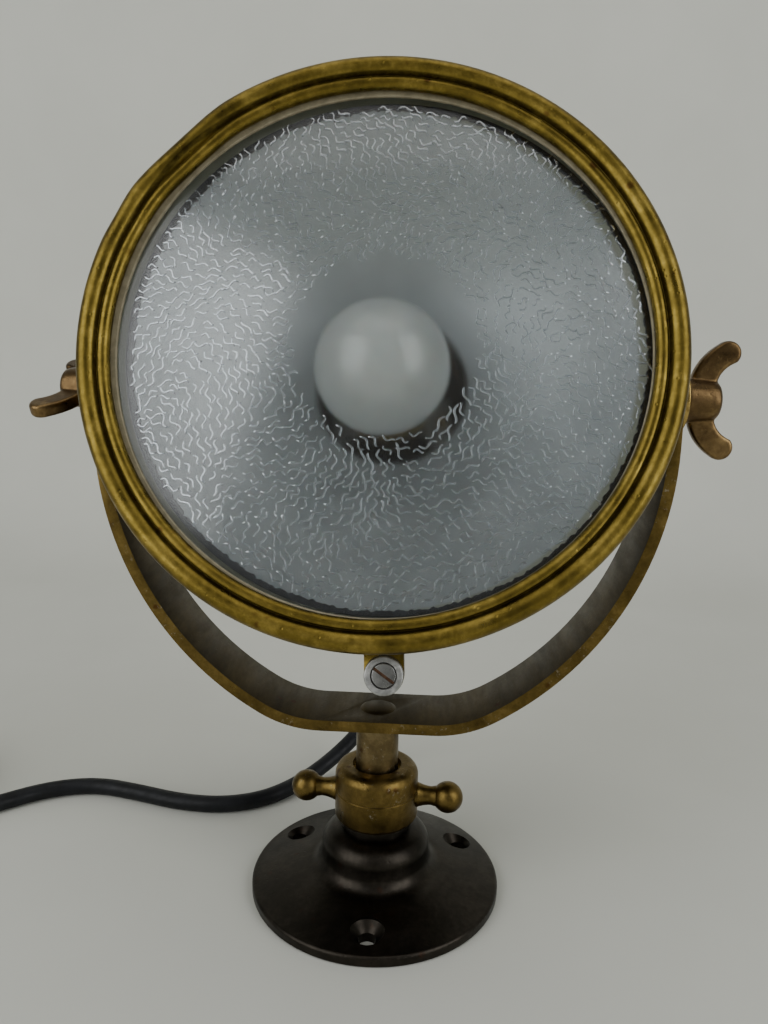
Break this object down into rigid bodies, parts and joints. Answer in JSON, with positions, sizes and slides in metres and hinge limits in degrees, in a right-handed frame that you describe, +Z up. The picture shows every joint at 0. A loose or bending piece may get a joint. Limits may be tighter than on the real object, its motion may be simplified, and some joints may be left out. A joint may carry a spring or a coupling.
{
  "type": "morse signal lamp",
  "caption": "Brass signal lamp: round tilting head with patterned glass, dish reflector and opal bulb, in a U-shaped yoke on a clamped post and round bolt-down base, with a cord.",
  "frame": {"origin": "centre of the base's underside", "axes": "+Z up along the post, X along the tilt axis, the lamp faces -Y"},
  "size_m": [0.4094, 0.2063, 0.2941],
  "materials": {
    "aged_brass": "aged satin",
    "dark_bronze": "dark satin",
    "bright_brass": "satin",
    "steel": "satin",
    "zinc": "dull",
    "rusty_steel": "rusty",
    "clear_glass": "pressed",
    "opal_glass": "satin opal",
    "silvered": "polished",
    "black_rubber": "matte",
    "tan_gasket": "matte",
    "black_plastic": "moulded",
    "white_ceramic": "glazed ceramic",
    "fibre": "pressed fibre",
    "tinned_wire": "bright"
  },
  "bodies": {
    "base": {"base_flange": "dark_bronze", "post_collet": "bright_brass", "cord_lower": "black_rubber", "cord_coil": "black_rubber", "cord_tail": "black_rubber", "plug_body": "black_plastic", "plug_pins": "bright_brass", "plug_screw": "steel"},
    "clamp_ring": {"clamp_ring": "bright_brass"},
    "clamp_nut": {"clamp_nut": "aged_brass", "clamp_arms": "aged_brass"},
    "yoke": {"post": "aged_brass", "post_stop_washer": "steel", "post_stop_screw": "steel", "yoke_strap": "aged_brass", "cord_upper": "black_rubber"},
    "head": {"housing_shell": "dark_bronze", "pivot_bosses": "aged_brass", "pivot_studs": "steel", "friction_discs": "fibre", "reflector": "silvered", "bulb_glass": "opal_glass", "bulb_cap": "bright_brass", "bulb_stem": "clear_glass", "filament": "tinned_wire", "lampholder_shell": "bright_brass", "lampholder_ring": "bright_brass", "lampholder_core": "white_ceramic", "lampholder_plungers": "bright_brass", "holder_bracket": "steel", "bracket_screws": "bright_brass", "terminal_block": "white_ceramic", "terminal_screws": "bright_brass", "inner_wires": "black_rubber", "gland_body": "bright_brass", "gland_nut": "bright_brass", "strain_relief": "black_rubber", "key_housing": "aged_brass", "key_insulator": "fibre", "key_contacts": "bright_brass", "key_spring": "steel", "body_ring": "dark_bronze", "hinge_pin": "steel"},
    "washer_right": {"pivot_washer_right": "bright_brass"},
    "washer_left": {"pivot_washer_left": "bright_brass"},
    "nut_right": {"wing_nut_right": "dark_bronze"},
    "nut_left": {"wing_nut_left": "dark_bronze"},
    "rim": {"front_rim": "aged_brass", "lens_glass": "clear_glass", "lens_gasket": "tan_gasket", "lens_seal": "black_rubber", "lens_ring": "aged_brass"},
    "rim_screw": {"rim_screw": "rusty_steel", "cup_washer": "zinc"},
    "key_button": {"key_button": "black_plastic", "key_bridge": "bright_brass"}
  },
  "joints": [
    {"name": "clamp_ring_slide", "type": "slide", "parent": "base", "child": "clamp_ring", "axis": [0, 0, 1], "range_m": [0, 0.000751]},
    {"name": "clamp_nut_turn", "type": "hinge", "parent": "clamp_ring", "child": "clamp_nut", "pos_m": [0, 0, 0.0374], "axis": [0, 0, 1], "range_deg": [0, 180]},
    {"name": "yoke_turn", "type": "hinge", "parent": "base", "child": "yoke", "pos_m": [0, 0, 0.05], "axis": [0, 0, 1], "range_deg": [-90, 90]},
    {"name": "head_tilt", "type": "hinge", "parent": "yoke", "child": "head", "pos_m": [0, 0, 0.1885], "axis": [-1, 0, 0], "range_deg": [-46.5, 28.5]},
    {"name": "washer_right_slide", "type": "slide", "parent": "head", "child": "washer_right", "axis": [1, 0, 0], "range_m": [0, 0.00125]},
    {"name": "nut_right_turn", "type": "hinge", "parent": "washer_right", "child": "nut_right", "pos_m": [0, 0, 0.1885], "axis": [1, 0, 0], "range_deg": [0, 360]},
    {"name": "washer_left_slide", "type": "slide", "parent": "head", "child": "washer_left", "axis": [-1, 0, 0], "range_m": [0, 0.00125]},
    {"name": "nut_left_turn", "type": "hinge", "parent": "washer_left", "child": "nut_left", "pos_m": [0, 0, 0.1885], "axis": [-1, 0, 0], "range_deg": [0, 360]},
    {"name": "rim_open", "type": "hinge", "parent": "head", "child": "rim", "pos_m": [-0.00467, 0.00216, 0.29016], "axis": [-0.9988, -0.0141, -0.0477], "range_deg": [0, 110]},
    {"name": "rim_screw_turn", "type": "hinge", "parent": "rim", "child": "rim_screw", "pos_m": [0.0049, -0.05599, 0.10686], "axis": [0, -0.9588, 0.284], "range_deg": [0, 1080]},
    {"name": "key_press", "type": "slide", "parent": "head", "child": "key_button", "axis": [0, -0.9588, 0.284], "range_m": [0, 0.003], "stiffness_N_per_m": 400, "springref_m": -0.004, "deforming": ["key_spring"]}
  ],
  "couplings": [
    {"joint": "clamp_ring_slide", "follows": "clamp_nut_turn", "m_per_rad": 0.00023873},
    {"joint": "washer_right_slide", "follows": "nut_right_turn", "m_per_rad": 0.00019894},
    {"joint": "washer_left_slide", "follows": "nut_left_turn", "m_per_rad": 0.00019894}
  ]
}
